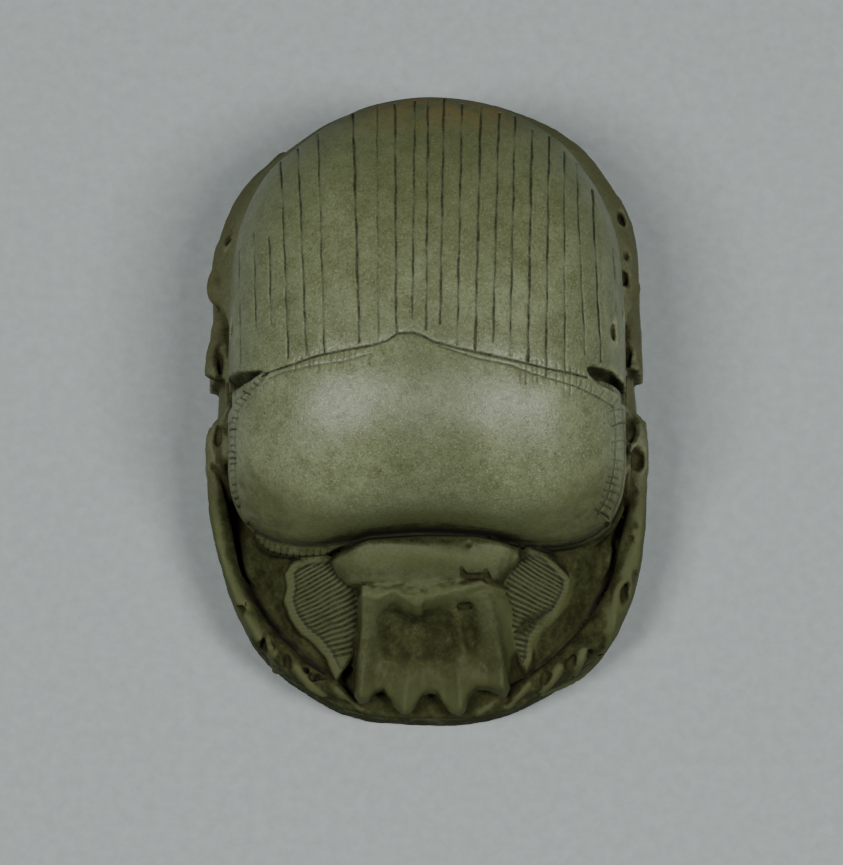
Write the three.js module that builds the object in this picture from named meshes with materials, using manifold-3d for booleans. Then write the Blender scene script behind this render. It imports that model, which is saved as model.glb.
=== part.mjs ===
// A carved stone scarab amulet: a beetle resting on an oval plinth, cut from one piece of green stone.
// Millimetres, +Z up, head towards -Y. The origin is the centre of the flat underside.
import * as THREE from 'three';
import { mergeVertices } from 'three/addons/utils/BufferGeometryUtils.js';
import Module from 'manifold-3d';

// Driving dimensions.
const AMULET_LENGTH = 57;
const AMULET_WIDTH = 40;
const AMULET_HEIGHT = 23;
const PLINTH_HEIGHT = 4;
const EDGE_WEAR = 0.5; // how far the plinth's arrises are worn round

// How finely the curved forms are cut into flat faces.
const OUTLINE_STEPS = 72;
const DOME_STEPS = 12;
const LIMB_SIDES = 8;
const LIMB_STEPS = 14;
const LIMB_END = 0.5; // how far a limb narrows at each end

// The beetle is a free form, so its carving is given in shares of the amulet: x from the middle to the
// side, y from the middle to the rear (the head is negative), and z from the plinth's top to the crown.
const across = (share) => (share * AMULET_WIDTH) / 2;
const along = (share) => (share * AMULET_LENGTH) / 2;
const up = (share) => PLINTH_HEIGHT + share * (AMULET_HEIGHT - PLINTH_HEIGHT);
const at = ([x, y, z]) => new THREE.Vector3(across(x), along(y), up(z));

// The plinth is drawn in behind the middle, which leaves it a half width of 1 where it is widest.
const PLINTH_OUTLINE = { half: 1.0105, rear: 1, front: 1, rearPower: 2.7, frontPower: 2.8, waist: 0.03 };
const BODY_OUTLINE = { half: 0.9, rear: 0.955, front: 0.525, rearPower: 2.7, frontPower: 4.6, waist: 0 };
const WAIST_Y = 0.2; // where the plinth's sides are drawn in most
const WAIST_REACH = 0.32;

// The body: wing cases and thorax as one dome, over a wall that stands back behind the legs.
const WING_EDGE_Z = 0.27;
const WING_LIP = 0.05; // thickness of the edge that overhangs the legs
const DOME_POWER = 2.3;
const CROWN_REACH = 0.01; // the topmost level's share of the dome's outline
const CROWN_SQUARENESS = 2; // the dome is elliptical at its crown and takes its outline towards the edge
const WALL_INSET_SIDE = 0.1;
const WALL_INSET_REAR = 0.045;

// The sloping ground that the head and the front legs are carved from.
const GROUND_FOOT = { half: 0.88, rear: 0.86, front: 0.86, rearPower: 2.6, frontPower: 2.6, waist: 0 };
const GROUND_TOP = { half: 0.8, rear: 0.8, front: 0.46, rearPower: 2.6, frontPower: 3.4, waist: 0 };
const GROUND_TOP_Z = 0.26;

// The line cut between thorax and wing cases, from the middle out to one side.
const SUTURE = [[0, 0.06], [0.12, 0.045], [0.4, 0.015], [0.6, 0.01], [0.8, 0.035]];
const SUTURE_HALF = 0.02;
const SUTURE_DEPTH = 0.02;
const ABOVE_CROWN = 1.1;

// The recess on each side where the thorax meets the wing cases.
const NOTCH_PLAN = [[0.775, 0.03], [0.895, -0.12], [1.1, -0.22], [1.1, 0.045]];
const NOTCH_INNER_Z = 0.62; // its floor rises inwards from the edge
const NOTCH_OUTER_Z = 0.22;

// The head, set a little to one side of the middle.
const HEAD_SHIFT = 0.015;
const BROW = { half: 0.42, y: -0.555, z: 0.4, reach: 0.085, thick: 0.1, sag: 0.03, droop: 0.03 };
const SHIELD_REAR = { half: 0.31, y: -0.5, z: 0.45, thick: 0.4 };
const SHIELD_FRONT = { y: -0.95, z: 0.13, thick: 0.12 };
const PRONG_TIPS = [[-0.31, -0.94], [-0.1, -0.985], [0.16, -0.98], [0.355, -0.92]];
const PRONG_ROOTS = [[-0.195, -0.905], [0.03, -0.925], [0.235, -0.875]];
const PRONG_TIP_HALF = 0.028;
const DISH = { half: 0.235, depth: 0.05, length: 1.1, y: -0.765 };
const CHEEK_PLAN = [[0.3, -0.5], [0.56, -0.505], [0.625, -0.56], [0.64, -0.61], [0.6, -0.68], [0.52, -0.745],
  [0.455, -0.8], [0.44, -0.85], [0.405, -0.855], [0.37, -0.8], [0.35, -0.7]];
const CHEEK_INNER_Z = 0.34;
const CHEEK_OUTER_Z = 0.25;
const CHEEK_TIP_DROP = 0.12;
const CHEEK_THICKNESS = 0.2;

// The legs on the right side, as points down each limb's middle, each with the half width of the limb
// there and how tall it is for its width. The left side is the same, mirrored.
const HIND_LEG = [[0.8, 0.2, 0.24, 0.07, 1.4], [0.91, 0.33, 0.19, 0.07, 1.4], [0.9, 0.5, 0.12, 0.065, 1.3],
  [0.775, 0.7, 0.06, 0.06, 1.2], [0.56, 0.86, 0.03, 0.05, 1]];
const MIDDLE_LEG = [[0.8, -0.06, 0.24, 0.07, 1.4], [0.91, 0.08, 0.2, 0.07, 1.4], [0.9, 0.23, 0.11, 0.06, 1.3],
  [0.86, 0.36, 0.04, 0.05, 1.1], [0.8, 0.46, 0.02, 0.04, 1]];
const FRONT_LEG = [[0.84, -0.07, 0.2, 0.07, 1.4], [0.9, -0.15, 0.19, 0.08, 1.4], [0.905, -0.35, 0.13, 0.07, 1.4],
  [0.875, -0.53, 0.09, 0.075, 1.2], [0.77, -0.69, 0.07, 0.09, 1], [0.59, -0.82, 0.06, 0.09, 0.9],
  [0.38, -0.91, 0.04, 0.05, 0.9]];
const LEG_ROOT_INSET = 0.04; // how far each leg leans in towards its foot on the plinth

// The gaps between the teeth of each front leg, cut slantwise into its outer side.
const TOOTH_GAPS = [[0.945, -0.62], [0.85, -0.78], [0.68, -0.92]];
const TOOTH_GAP_LENGTH = 0.13;
const TOOTH_GAP_HALF = 0.045;
const TOOTH_GAP_SLANT = 0.6; // radians from straight in
const TOOTH_GAP_FLOOR = 0.01;

const stone = new THREE.MeshStandardMaterial({ color: 0x6f735a, roughness: 0.5, metalness: 0 });

// A point on an oval outline whose front and rear halves have their own reach and squareness.
function outlinePoint(outline, angle, grow = 0) {
  const c = Math.cos(angle);
  const s = Math.sin(angle);
  const rear = s >= 0;
  const power = rear ? outline.rearPower : outline.frontPower;
  const reach = along(rear ? outline.rear : outline.front) + grow;
  const y = Math.sign(s) * Math.abs(s) ** (2 / power) * reach;
  const drawnIn = outline.waist * Math.exp(-(((y / along(1)) - WAIST_Y) ** 2) / WAIST_REACH ** 2);
  const x = Math.sign(c) * Math.abs(c) ** (2 / power) * (across(outline.half - drawnIn) + grow);
  return new THREE.Vector2(x, y);
}

// The angles that give even steps round an oval outline.
function outlineAngles(outline) {
  const fine = 40 * OUTLINE_STEPS;
  const run = [0];
  for (let i = 1; i <= fine; i += 1) {
    const a = outlinePoint(outline, ((i - 1) / fine) * 2 * Math.PI);
    const b = outlinePoint(outline, (i / fine) * 2 * Math.PI);
    run.push(run[i - 1] + a.distanceTo(b));
  }
  const angles = [];
  for (let k = 0, i = 0; k < OUTLINE_STEPS; k += 1) {
    while (run[i] < (k / OUTLINE_STEPS) * run[fine]) i += 1;
    angles.push((i / fine) * 2 * Math.PI);
  }
  return angles;
}

// A closed skin over rings of equal count, each end drawn to its middle point.
function loft(rings) {
  const count = rings[0].length;
  const middle = (ring) => ring.reduce((sum, p) => sum.add(p), new THREE.Vector3()).divideScalar(count);
  const points = [...rings.flat(), middle(rings[0]), middle(rings[rings.length - 1])];
  const first = rings.length * count;
  const index = [];
  for (let k = 0; k < count; k += 1) {
    const next = (k + 1) % count;
    for (let r = 0; r + 1 < rings.length; r += 1) {
      const a = r * count;
      const b = a + count;
      index.push(a + k, a + next, b + next, a + k, b + next, b + k);
    }
    const last = (rings.length - 1) * count;
    index.push(first, next, k, first + 1, last + k, last + next);
  }
  const geometry = new THREE.BufferGeometry().setFromPoints(points);
  geometry.setIndex(index);
  return geometry;
}

// The plinth: an upright oval slab with worn arrises.
function plinth() {
  const angles = outlineAngles(PLINTH_OUTLINE);
  const ring = (inset, z) => angles.map((angle) => {
    const p = outlinePoint(PLINTH_OUTLINE, angle, -inset);
    return new THREE.Vector3(p.x, p.y, z);
  });
  const cut = EDGE_WEAR * (1 - Math.SQRT1_2);
  return loft([
    ring(EDGE_WEAR, 0), ring(cut, cut), ring(0, EDGE_WEAR),
    ring(0, PLINTH_HEIGHT - EDGE_WEAR), ring(cut, PLINTH_HEIGHT - cut), ring(EDGE_WEAR, PLINTH_HEIGHT),
  ]);
}

// The body: a wall set back over the legs, an overhanging edge, and the dome above it. A smaller one
// stands inside it, by a depth given as a share of the dome's height.
function body(depth = 0) {
  const angles = outlineAngles(BODY_OUTLINE);
  const wall = (z) => angles.map((angle) => {
    const sideways = Math.abs(Math.cos(angle));
    const inset = WALL_INSET_REAR + (WALL_INSET_SIDE - WALL_INSET_REAR) * sideways;
    const p = outlinePoint(BODY_OUTLINE, angle, -across(inset));
    return new THREE.Vector3(p.x, p.y, z);
  });
  const level = (reach, z) => {
    const soften = (power) => THREE.MathUtils.lerp(CROWN_SQUARENESS, power, reach ** 2);
    const outline = {
      ...BODY_OUTLINE,
      rearPower: soften(BODY_OUTLINE.rearPower),
      frontPower: soften(BODY_OUTLINE.frontPower),
    };
    return angles.map((angle) => {
      const p = outlinePoint(outline, angle).multiplyScalar(reach);
      return new THREE.Vector3(p.x, p.y, z);
    });
  };
  const lip = level(1 - depth, up(WING_EDGE_Z - WING_LIP));
  const rings = [wall(PLINTH_HEIGHT / 2), wall(up(WING_EDGE_Z - 2 * WING_LIP)), lip];
  for (let i = 0; i < DOME_STEPS; i += 1) {
    const turn = (i / DOME_STEPS) * (Math.PI / 2);
    const reach = Math.cos(turn) ** (2 / DOME_POWER);
    rings.push(level(reach * (1 - depth), up(WING_EDGE_Z + (1 - depth - WING_EDGE_Z) * Math.sin(turn))));
  }
  rings.push(level(CROWN_REACH, up(1 - depth)));
  return loft(rings);
}

// A plan of points made into a plate whose top and thickness vary from place to place.
function plate(plan, topAt, thickAt) {
  const shape = new THREE.Shape(plan.map(([x, y]) => new THREE.Vector2(across(x), along(y))));
  const geometry = new THREE.ExtrudeGeometry(shape, { depth: 1, bevelEnabled: false });
  const position = geometry.attributes.position;
  for (let i = 0; i < position.count; i += 1) {
    const x = position.getX(i) / across(1);
    const y = position.getY(i) / along(1);
    const below = (1 - position.getZ(i)) * thickAt(x, y);
    position.setZ(i, up(topAt(x, y) - below));
  }
  return geometry;
}

// A straight run from one value to another as a share goes between two places.
const ramp = (share, from, to, start, end) => THREE.MathUtils.mapLinear(share, from, to, start, end);

// The height of the shield's face.
const shieldTop = (y) => ramp(y, SHIELD_REAR.y, SHIELD_FRONT.y, SHIELD_REAR.z, SHIELD_FRONT.z);

// The notched shield at the front of the head, sloping down to its four prongs.
function shield() {
  const plan = [[SHIELD_REAR.half, SHIELD_REAR.y], [-SHIELD_REAR.half, SHIELD_REAR.y]];
  PRONG_TIPS.forEach(([x, y], i) => {
    plan.push([x - PRONG_TIP_HALF, y], [x + PRONG_TIP_HALF, y]);
    if (i < PRONG_ROOTS.length) plan.push(PRONG_ROOTS[i]);
  });
  const shifted = plan.map(([x, y]) => [x + HEAD_SHIFT, y]);
  const thick = (x, y) => ramp(y, SHIELD_REAR.y, SHIELD_FRONT.y, SHIELD_REAR.thick, SHIELD_FRONT.thick);
  return plate(shifted, (x, y) => shieldTop(y), thick);
}

// The hollow of the shield: a flattened ball lowered into its face.
function dish() {
  const half = across(DISH.half);
  const depth = up(DISH.depth) - up(0);
  const radius = (half ** 2 + depth ** 2) / (2 * depth);
  const middle = at([HEAD_SHIFT, DISH.y, shieldTop(DISH.y)]);
  const run = along(SHIELD_REAR.y - SHIELD_FRONT.y);
  const fall = Math.atan2(up(SHIELD_REAR.z) - up(SHIELD_FRONT.z), run);
  return new THREE.SphereGeometry(radius, 60, 40)
    .scale(1, DISH.length, 1)
    .translate(0, 0, radius - depth)
    .rotateX(fall)
    .translate(middle.x, middle.y, middle.z);
}

// The suture as an upright strip over one half of the body.
function suture(points) {
  const rear = points.map(([x, y]) => [x, y + SUTURE_HALF]);
  const front = points.map(([x, y]) => [x, y - SUTURE_HALF]);
  return plate([...rear, ...front.reverse()], () => ABOVE_CROWN, () => 1);
}

// The recess on one side between thorax and wing cases.
function notch(plan) {
  const inner = Math.min(...plan.map(([x]) => Math.abs(x)));
  const floor = (x) => ramp(Math.abs(x), inner, BODY_OUTLINE.half, NOTCH_INNER_Z, NOTCH_OUTER_Z);
  return plate(plan, () => 1, (x) => 1 - floor(x));
}

// One cheek plate: leaf shaped, sloping outwards and down to its tip.
function cheek(plan) {
  const outer = Math.max(...plan.map(([x]) => Math.abs(x)));
  const inner = Math.min(...plan.map(([x]) => Math.abs(x)));
  const rear = Math.max(...plan.map(([, y]) => y));
  const tip = Math.min(...plan.map(([, y]) => y));
  const top = (x, y) => {
    const forwards = ramp(y, rear, tip, 0, 1);
    return ramp(Math.abs(x), inner, outer, CHEEK_INNER_Z, CHEEK_OUTER_Z) - CHEEK_TIP_DROP * forwards ** 2;
  };
  return plate(plan, top, () => CHEEK_THICKNESS);
}

// The ground: stone left between the head, the legs and the plinth, sloping down to the front.
function ground() {
  const angles = outlineAngles(GROUND_FOOT);
  const ring = (outline, z) => angles.map((angle) => {
    const p = outlinePoint(outline, angle);
    return new THREE.Vector3(p.x, p.y, z);
  });
  return loft([ring(GROUND_FOOT, PLINTH_HEIGHT / 2), ring(GROUND_FOOT, up(0)), ring(GROUND_TOP, up(GROUND_TOP_Z))]);
}

// A limb carved in relief: rings round a smooth curve, with the half width and the height given at each
// of its points. Each ring's lower side runs down into the plinth.
function limb(points) {
  const path = new THREE.CatmullRomCurve3(points.map(at));
  const rings = [];
  for (let i = 0; i <= LIMB_STEPS; i += 1) {
    const t = i / LIMB_STEPS;
    const place = t * (points.length - 1);
    const k = Math.min(Math.floor(place), points.length - 2);
    const between = (n) => THREE.MathUtils.lerp(points[k][n], points[k + 1][n], place - k);
    const end = i === 0 || i === LIMB_STEPS ? LIMB_END : 1;
    const half = across(between(3)) * end;
    const middle = path.getPoint(t);
    const forward = path.getTangent(t);
    const side = new THREE.Vector3().crossVectors(forward, new THREE.Vector3(0, 0, 1)).normalize();
    const over = new THREE.Vector3().crossVectors(side, forward);
    const ring = [];
    for (let s = 0; s < LIMB_SIDES; s += 1) {
      const turn = (-s / LIMB_SIDES) * 2 * Math.PI;
      const point = middle.clone()
        .addScaledVector(side, Math.cos(turn) * half)
        .addScaledVector(over, Math.sin(turn) * half * between(4));
      if (s > 0 && s < LIMB_SIDES / 2) {
        point.multiplyScalar(1 - LEG_ROOT_INSET).setZ(PLINTH_HEIGHT / 2);
      }
      ring.push(point);
    }
    rings.push(ring);
  }
  return loft(rings);
}

// One gap between two teeth of a front leg.
function toothGap([x, y]) {
  const outwards = Math.atan2(along(y), across(x));
  const reach = across(TOOTH_GAP_LENGTH);
  const half = across(TOOTH_GAP_HALF);
  const shape = new THREE.Shape([
    new THREE.Vector2(-reach, 0), new THREE.Vector2(reach / 2, -half), new THREE.Vector2(reach / 2, half),
  ]);
  return new THREE.ExtrudeGeometry(shape, { depth: up(1) - up(TOOTH_GAP_FLOOR), bevelEnabled: false })
    .rotateZ(outwards + Math.sign(x) * TOOTH_GAP_SLANT)
    .translate(across(x), along(y), up(TOOTH_GAP_FLOOR));
}

// The brow: a rounded bar across the head behind the shield.
function brow() {
  const half = BROW.half - BROW.reach;
  const point = (share) => {
    const bend = share ** 2;
    return [share * half + HEAD_SHIFT, BROW.y + BROW.sag * bend, BROW.z - BROW.droop * bend,
      BROW.reach, BROW.thick / BROW.reach];
  };
  return limb([-1, -0.5, 0, 0.5, 1].map(point));
}

const wasm = await Module();
wasm.setup();

function solid(geometry) {
  geometry.deleteAttribute('normal');
  geometry.deleteAttribute('uv');
  const merged = mergeVertices(geometry, 1e-5);
  return new wasm.Manifold(new wasm.Mesh({
    numProp: 3,
    vertProperties: new Float32Array(merged.attributes.position.array),
    triVerts: new Uint32Array(merged.index.array),
  }));
}

function carve() {
  const flip = (points) => points.map(([x, ...rest]) => [-x, ...rest]);
  const bothSides = (make, points) => [solid(make(points)), solid(make(flip(points)))];
  const cut = (whole, pieces) => pieces.reduce((left, piece) => left.subtract(piece), whole);
  const join = (pieces) => pieces.reduce((whole, piece) => whole.add(piece));
  const notches = bothSides(notch, NOTCH_PLAN);
  const inside = solid(body(SUTURE_DEPTH));
  const grooves = bothSides(suture, SUTURE).map((strip) => strip.subtract(inside));
  const frontLegs = cut(join(bothSides(limb, FRONT_LEG)), TOOTH_GAPS.flatMap((place) => (
    [solid(toothGap(place)), solid(toothGap([-place[0], place[1]]))])));
  return join([
    cut(cut(solid(body()), grooves), notches),
    solid(plinth()),
    solid(ground()),
    solid(shield()).subtract(solid(dish())),
    solid(brow()),
    frontLegs,
    ...bothSides(cheek, CHEEK_PLAN),
    ...bothSides(limb, MIDDLE_LEG),
    ...bothSides(limb, HIND_LEG),
  ]);
}

function toGeometry(manifold) {
  const mesh = manifold.getMesh();
  const geometry = new THREE.BufferGeometry();
  geometry.setAttribute('position', new THREE.BufferAttribute(mesh.vertProperties, 3));
  geometry.setIndex(new THREE.BufferAttribute(mesh.triVerts, 1));
  geometry.computeVertexNormals();
  return geometry;
}

const scarab = new THREE.Mesh(toGeometry(carve()), stone);
scarab.name = 'scarab';

const amulet = new THREE.Group();
amulet.add(scarab);
export default amulet;
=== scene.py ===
# A scarab amulet carved from one green stone: the beetle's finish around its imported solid.
# Carving is worked out in millimetres on the stone, x across, y towards the beetle's rear, z up.
import math

import bpy
import numpy as np
from mathutils import Matrix, Vector
from mathutils.bvhtree import BVHTree


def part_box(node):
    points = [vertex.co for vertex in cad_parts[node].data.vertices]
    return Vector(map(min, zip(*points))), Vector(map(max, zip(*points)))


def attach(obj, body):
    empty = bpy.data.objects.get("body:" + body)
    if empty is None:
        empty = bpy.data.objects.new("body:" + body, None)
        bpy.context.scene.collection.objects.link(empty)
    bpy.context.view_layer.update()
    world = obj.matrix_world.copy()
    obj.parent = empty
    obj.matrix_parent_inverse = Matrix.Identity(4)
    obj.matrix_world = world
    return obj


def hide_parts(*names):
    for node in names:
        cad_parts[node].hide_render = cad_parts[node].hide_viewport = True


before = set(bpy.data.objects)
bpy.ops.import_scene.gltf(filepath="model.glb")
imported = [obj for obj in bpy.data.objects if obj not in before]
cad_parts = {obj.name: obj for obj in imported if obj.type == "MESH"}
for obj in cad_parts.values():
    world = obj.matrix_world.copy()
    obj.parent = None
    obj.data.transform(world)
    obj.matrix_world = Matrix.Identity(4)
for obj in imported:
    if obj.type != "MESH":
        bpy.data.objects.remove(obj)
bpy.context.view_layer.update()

MM = 0.001

# The amulet's own size, from its solid, and the heights that its carving works to.
LOW, HIGH = (np.array(corner, dtype=float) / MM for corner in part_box("scarab"))
WIDTH, LENGTH, HEIGHT = HIGH - LOW
HALF_WIDTH = WIDTH / 2
HALF_LENGTH = LENGTH / 2
PLINTH_TOP = 4.0
WING_EDGE = 9.0
FLANK_TOP = 8.7
SHIELD_TOP = 10.9
BROW_TOP = 12.4
CHEEK_TOP = 10.1
COLLAR_TOP = 10.1
FRONT_GROOVE = 3.05

# Where the photograph was taken from.
PHOTO_WIDTH = 843
PHOTO_HEIGHT = 865
CAMERA_RISE = math.radians(76.5)
CAMERA_DISTANCE = 600.0
PIXELS_PER_MM = 11.08
AIM = np.array([0.0, 0.0, 8.0])
AIM_PIXEL = (427.0, 397.5)

CAMERA_BACK = np.array([0.0, -math.cos(CAMERA_RISE), math.sin(CAMERA_RISE)])
CAMERA_RIGHT = np.array([1.0, 0.0, 0.0])
CAMERA_UP = np.cross(CAMERA_BACK, CAMERA_RIGHT)
CAMERA_PLACE = AIM + CAMERA_DISTANCE * CAMERA_BACK
FOCAL_PIXELS = PIXELS_PER_MM * CAMERA_DISTANCE
SENSOR_HEIGHT = 36.0

# How finely the stone is worked, in mm between neighbouring points.
ROUGH_STEP = 0.3
MOST_TRIANGLES = 195000
FAR = 6.0


def from_photo(pixel_x, pixel_y, height):
    """The place in mm, at a height, that shows at a pixel of the photograph."""
    ray = (
        -CAMERA_BACK
        + CAMERA_RIGHT * (pixel_x - AIM_PIXEL[0]) / FOCAL_PIXELS
        + CAMERA_UP * (AIM_PIXEL[1] - pixel_y) / FOCAL_PIXELS
    )
    return CAMERA_PLACE + ray * (height - CAMERA_PLACE[2]) / ray[2]


def on_back(pixel_x, pixel_y):
    """The place on the domed back that shows at a pixel."""
    height = 16.0
    for _ in range(12):
        x, y, _ = from_photo(pixel_x, pixel_y, height)
        height = 0.5 * height + 0.5 * back_height(x, y)
    return from_photo(pixel_x, pixel_y, height)


# Blends between forms


def soft_min(a, b, reach):
    share = np.clip(0.5 + 0.5 * (b - a) / reach, 0.0, 1.0)
    return b + (a - b) * share - reach * share * (1.0 - share)


def soft_max(a, b, reach):
    return -soft_min(-a, -b, reach)


def ease(value, start, end):
    """0 up to start, 1 from end on, and smooth between."""
    share = np.clip((value - start) / (end - start), 0.0, 1.0)
    return share * share * (3.0 - 2.0 * share)


def hump(value, width):
    return np.exp(-((value / width) ** 2))


def ripple(x, y, z, wavelength, seed):
    """A smooth unevenness between -1 and 1, as a hand-worked surface has."""
    dice = np.random.RandomState(seed)
    total = 0.0
    for _ in range(7):
        way = dice.normal(size=3)
        way *= 2.0 * math.pi / (wavelength * dice.uniform(0.7, 1.5) * np.linalg.norm(way))
        total = total + np.sin(way[0] * x + way[1] * y + way[2] * z + dice.uniform(0, 2 * math.pi))
    return total / 4.0


def near(x, y, z, low, high, gap):
    """A form's gap worked out only inside a box round it, and a large gap elsewhere."""
    inside = (x > low[0]) & (x < high[0]) & (y > low[1]) & (y < high[1]) & (z > low[2]) & (z < high[2])
    result = np.full(x.shape, FAR, dtype=x.dtype)
    if inside.any():
        result[inside] = gap(x[inside], y[inside], z[inside])
    return result


# Plan outlines


def oval_share(x, y, half, rear, front, rear_power, front_power):
    """How far out a place is on an oval of uneven halves: 1 on the outline."""
    reach = np.where(y > 0, rear, front)
    power = np.where(y > 0, rear_power, front_power)
    return (np.abs(x / half) ** power + np.abs(y / reach) ** power) ** (1.0 / power) + 1e-6


def plinth_gap(x, y):
    """Distance out from the plinth's outline, a hand's oval drawn in at the waist and the left rear."""
    across = x - 0.45 * hump(y + 18.5, 7.0) - 0.4 * ease(y, 20.5, 24.0)
    right = x > 0
    waist = 0.045 * ease(y, -1.9 + 0.6 * right, -1.2 + 0.6 * right) * ease(2.4 + 0.9 * right - y, 0.0, 0.4)
    across = across * (1.0 + waist + 0.12 * ease(-y, 21.5, 27.5))
    half = HALF_WIDTH * (1.01 - 0.03 * hump(y / HALF_LENGTH - 0.2, 0.32))
    left = half - 1.6 * ease(y, 18.0, 27.0) - 0.6 * ease(y, 23.0, 26.5) + 0.45 * hump(y - 14.0, 4.5)
    half = np.where(across < 0, left, half + 0.9 * hump(y - 18.5, 5.5))
    share = oval_share(across, y, half, HALF_LENGTH, HALF_LENGTH + 0.15, 2.7, 2.72)
    return (share - 1.0) * np.hypot(across, y) / share


def outline_gap(x, y, corners):
    """Distance out from a closed outline of corners."""
    nearest = np.full(x.shape, 1e9, dtype=x.dtype)
    sign = np.ones(x.shape, dtype=x.dtype)
    for (ax, ay), (bx, by) in zip(corners, corners[1:] + corners[:1]):
        ex, ey = bx - ax, by - ay
        wx, wy = x - ax, y - ay
        t = np.clip((wx * ex + wy * ey) / (ex * ex + ey * ey), 0.0, 1.0)
        nearest = np.minimum(nearest, (wx - ex * t) ** 2 + (wy - ey * t) ** 2)
        above = y >= ay
        below = y < by
        left = ex * wy > ey * wx
        flip = (above & below & left) | (~above & ~below & ~left)
        sign = np.where(flip, -sign, sign)
    return sign * np.sqrt(nearest)


def line_gap(x, y, points):
    """Distance in plan from an open line of points, and how far along it the nearest place is."""
    nearest = np.full(x.shape, 1e9, dtype=x.dtype)
    along = np.zeros(x.shape, dtype=x.dtype)
    run = 0.0
    for (ax, ay), (bx, by) in zip(points, points[1:]):
        ex, ey = bx - ax, by - ay
        length = math.hypot(ex, ey)
        t = np.clip(((x - ax) * ex + (y - ay) * ey) / (length * length), 0.0, 1.0)
        square = (x - ax - ex * t) ** 2 + (y - ay - ey * t) ** 2
        closer = square < nearest
        nearest = np.where(closer, square, nearest)
        along = np.where(closer, run + t * length, along)
        run += length
    return np.sqrt(nearest), along


def smooth_run(points, per_span=5):
    """A curve through points of any number of values."""
    points = np.array(points, dtype=float)
    padded = np.vstack([2 * points[0] - points[1], points, 2 * points[-1] - points[-2]])
    run = []
    for i in range(len(points) - 1):
        a, b, c, d = padded[i : i + 4]
        for k in range(per_span):
            t = k / per_span
            run.append(0.5 * (2 * b + (c - a) * t + (2 * a - 5 * b + 4 * c - d) * t**2
                              + (3 * b - a - 3 * c + d) * t**3))
    run.append(points[-1])
    return np.array(run)


def rod_gap(x, y, z, run):
    """Distance out from a rod whose centre line and radius are given at each step."""
    nearest = np.full(x.shape, FAR, dtype=x.dtype)
    for start, end in zip(run, run[1:]):
        ax, ay, az, ar = start
        ex, ey, ez, er = end - start
        t = np.clip(((x - ax) * ex + (y - ay) * ey + (z - az) * ez) / (ex * ex + ey * ey + ez * ez), 0, 1)
        gap = np.sqrt((x - ax - ex * t) ** 2 + (y - ay - ey * t) ** 2 + (z - az - ez * t) ** 2)
        nearest = np.minimum(nearest, gap - ar - er * t)
    return nearest


def rod(x, y, z, points, per_span=5):
    run = smooth_run(points, per_span)
    margin = run[:, 3].max() + 1.5
    low = run[:, :3].min(axis=0) - margin
    high = run[:, :3].max(axis=0) + margin
    return near(x, y, z, low, high, lambda u, v, w: rod_gap(u, v, w, run))


# The domed back: wing cases behind, thorax in front

CROWN = HEIGHT
BACK_POWER = 2.3
# The back's outline along the wing cases' edge, right half from the rear to the thorax's front, in mm.
BACK_OUTLINE = [
    (0.0, 27.4), (5.0, 26.8), (8.3, 25.4), (10.9, 23.8), (12.9, 22.1), (14.5, 20.3), (15.8, 18.2),
    (16.7, 16.0), (17.3, 13.6), (17.7, 10.5), (17.85, 6.0), (17.9, 1.0), (17.9, -4.0), (17.8, -8.0),
    (17.2, -10.4), (15.8, -12.4), (13.4, -13.7), (10.0, -14.1), (5.0, -13.5), (0.0, -13.2),
]
BACK_RUN = smooth_run([(-5.0, 26.8)] + BACK_OUTLINE + [(-5.0, -13.5)])[5:-5]
BACK_ANGLES = np.arctan2(BACK_RUN[:, 1], BACK_RUN[:, 0])[::-1]
BACK_REACHES = np.hypot(BACK_RUN[:, 0], BACK_RUN[:, 1])[::-1]
BACK_HALF = max(x for x, _ in BACK_OUTLINE)
BACK_REAR = BACK_OUTLINE[0][1]
BACK_FRONT = -BACK_OUTLINE[-1][1]


def back_share(x, y):
    """How far out a place is on the back's outline, rounder at the crown, its rear a little to the right."""
    x = x - 0.45 * ease(y, 20.0, 23.5)
    away = np.hypot(x, y)
    outer = away / np.interp(np.arctan2(y, np.abs(x)), BACK_ANGLES, BACK_REACHES)
    inner = np.hypot(x / BACK_HALF, y / np.where(y > 0, BACK_REAR, BACK_FRONT))
    near_edge = np.minimum(outer, 1.0) ** 2
    return inner + (outer - inner) * near_edge + 1e-6


def back_height(x, y):
    share = min(float(back_share(np.array([x]), np.array([y]))[0]), 0.999)
    return WING_EDGE + (CROWN - WING_EDGE) * (1.0 - share**BACK_POWER) ** (1.0 / BACK_POWER)


def back_gap(x, y, z):
    share = back_share(x, y)
    rise = np.clip(z - WING_EDGE, 0.0, None)
    whole = (share**BACK_POWER + (rise / (CROWN - WING_EDGE)) ** BACK_POWER) ** (1.0 / BACK_POWER)
    dome = (whole - 1.0) * np.sqrt(x * x + y * y + rise * rise) / whole
    return soft_max(dome, WING_EDGE - 0.9 - z, 0.5)


def back_places(*seen):
    """Corners read off the photograph on the domed back, as plan places in mm."""
    return [tuple(on_back(px, py)[:2]) for px, py in seen]


# The notch on each side where thorax and wing cases meet, and its deepest part, against the wing cases.
LEFT_NOTCH = back_places((262, 371), (251, 372), (237, 372), (229, 374), (214, 384), (212, 424), (222, 415),
                         (230, 408), (236, 401), (247, 393), (256, 386), (267, 375))
LEFT_WEDGE = back_places((261, 371), (251, 371), (237, 371), (230, 373), (231, 381), (235, 385), (239, 385),
                         (243, 382), (251, 378))
RIGHT_NOTCH = back_places((586, 368), (591, 366), (602, 368), (612, 371), (618, 378), (624, 385), (630, 392),
                          (634, 400), (636, 410), (627, 409), (621, 402), (618, 394), (612, 390), (604, 387),
                          (597, 383), (591, 377), (588, 373))
RIGHT_WEDGE = back_places((586, 368), (591, 365), (602, 367), (612, 370), (618, 377), (624, 385), (630, 393),
                          (624, 391), (612, 382), (603, 379), (595, 378), (589, 373))


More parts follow.
